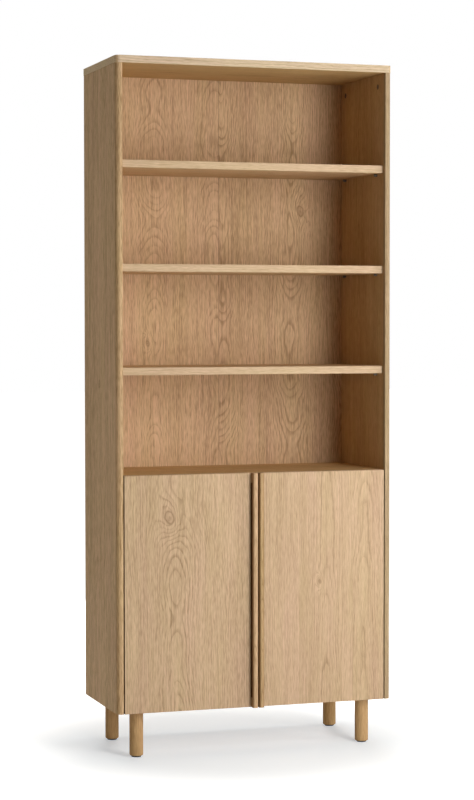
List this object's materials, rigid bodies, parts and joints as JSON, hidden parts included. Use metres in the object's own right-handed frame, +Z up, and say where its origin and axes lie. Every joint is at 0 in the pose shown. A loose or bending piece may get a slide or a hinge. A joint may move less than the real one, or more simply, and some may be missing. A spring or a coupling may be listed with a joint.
{
  "type": "bookcase with cabinet doors",
  "caption": "Tall narrow oak bookcase: open bays with loose shelves over a cabinet with hinged inset doors, standing on round legs.",
  "frame": {"origin": "on the floor under the centre of the overall box (case depth plus the proud grip strips)", "axes": "+Z up, -Y towards the person who opens the doors, +X to that person's right"},
  "size_m": [0.8, 0.366, 1.908],
  "materials": {
    "oak_veneer": "matt lacquered oak veneer",
    "oak_back_veneer": "matt lacquered oak veneer on thin board",
    "oak_shelf_veneer": "matt lacquered oak veneer with solid lipping",
    "solid_oak": "matt lacquered solid oak",
    "nickel_steel": "nickel-plated pressed steel",
    "zinc_fitting": "zinc-plated",
    "glide_plastic": "dark moulded plastic",
    "bumper_plastic": "clear soft plastic"
  },
  "bodies": {
    "carcass": {"left_side_panel": "oak_veneer", "right_side_panel": "oak_veneer", "top_panel": "oak_veneer", "bottom_panel": "oak_veneer", "fixed_shelf": "oak_veneer", "left_back_panel": "oak_back_veneer", "right_back_panel": "oak_back_veneer", "lower_shelf": "oak_shelf_veneer", "middle_shelf": "oak_shelf_veneer", "upper_shelf": "oak_shelf_veneer", "cabinet_shelf": "oak_shelf_veneer", "front_left_cam_lock": "zinc_fitting", "front_left_cam_bolt": "zinc_fitting", "front_left_leg": "solid_oak", "front_left_leg_glide": "glide_plastic", "front_right_cam_lock": "zinc_fitting", "front_right_cam_bolt": "zinc_fitting", "front_right_leg": "solid_oak", "front_right_leg_glide": "glide_plastic", "rear_left_cam_lock": "zinc_fitting", "rear_left_cam_bolt": "zinc_fitting", "rear_left_leg": "solid_oak", "rear_left_leg_glide": "glide_plastic", "rear_right_cam_lock": "zinc_fitting", "rear_right_cam_bolt": "zinc_fitting", "rear_right_leg": "solid_oak", "rear_right_leg_glide": "glide_plastic", "left_lower_hinge_arm": "nickel_steel", "left_lower_hinge_plate": "nickel_steel", "left_lower_arm_pin": "zinc_fitting", "left_upper_hinge_arm": "nickel_steel", "left_upper_hinge_plate": "nickel_steel", "left_upper_arm_pin": "zinc_fitting", "right_lower_hinge_arm": "nickel_steel", "right_lower_hinge_plate": "nickel_steel", "right_lower_arm_pin": "zinc_fitting", "right_upper_hinge_arm": "nickel_steel", "right_upper_hinge_plate": "nickel_steel", "right_upper_arm_pin": "zinc_fitting"},
    "left_links": {"left_lower_hinge_link": "nickel_steel", "left_upper_hinge_link": "nickel_steel"},
    "left_door": {"left_door_panel": "oak_veneer", "left_grip_strip": "solid_oak", "left_lower_hinge_cup": "nickel_steel", "left_lower_cup_pin": "zinc_fitting", "left_lower_door_bumper": "bumper_plastic", "left_upper_hinge_cup": "nickel_steel", "left_upper_cup_pin": "zinc_fitting", "left_upper_door_bumper": "bumper_plastic"},
    "right_links": {"right_lower_hinge_link": "nickel_steel", "right_upper_hinge_link": "nickel_steel"},
    "right_door": {"right_door_panel": "oak_veneer", "right_grip_strip": "solid_oak", "right_lower_hinge_cup": "nickel_steel", "right_lower_cup_pin": "zinc_fitting", "right_lower_door_bumper": "bumper_plastic", "right_upper_hinge_cup": "nickel_steel", "right_upper_cup_pin": "zinc_fitting", "right_upper_door_bumper": "bumper_plastic"}
  },
  "joints": [
    {"name": "left_link_swing", "type": "hinge", "parent": "carcass", "child": "left_links", "pos_m": [-0.3472, -0.1324, 0.4515], "axis": [0, 0, -1], "range_deg": [-45.6, 0]},
    {"name": "left_door_swing", "type": "hinge", "parent": "left_links", "child": "left_door", "pos_m": [-0.3679, -0.1496, 0.4515], "axis": [0, 0, -1], "range_deg": [0, 140.6]},
    {"name": "right_link_swing", "type": "hinge", "parent": "carcass", "child": "right_links", "pos_m": [0.3472, -0.1324, 0.4515], "axis": [0, 0, 1], "range_deg": [-45.6, 0]},
    {"name": "right_door_swing", "type": "hinge", "parent": "right_links", "child": "right_door", "pos_m": [0.3679, -0.1496, 0.4515], "axis": [0, 0, 1], "range_deg": [0, 140.6]}
  ],
  "couplings": [
    {"joint": "left_link_swing", "follows": "left_door_swing", "ratio": -0.32432},
    {"joint": "right_link_swing", "follows": "right_door_swing", "ratio": -0.32432}
  ]
}
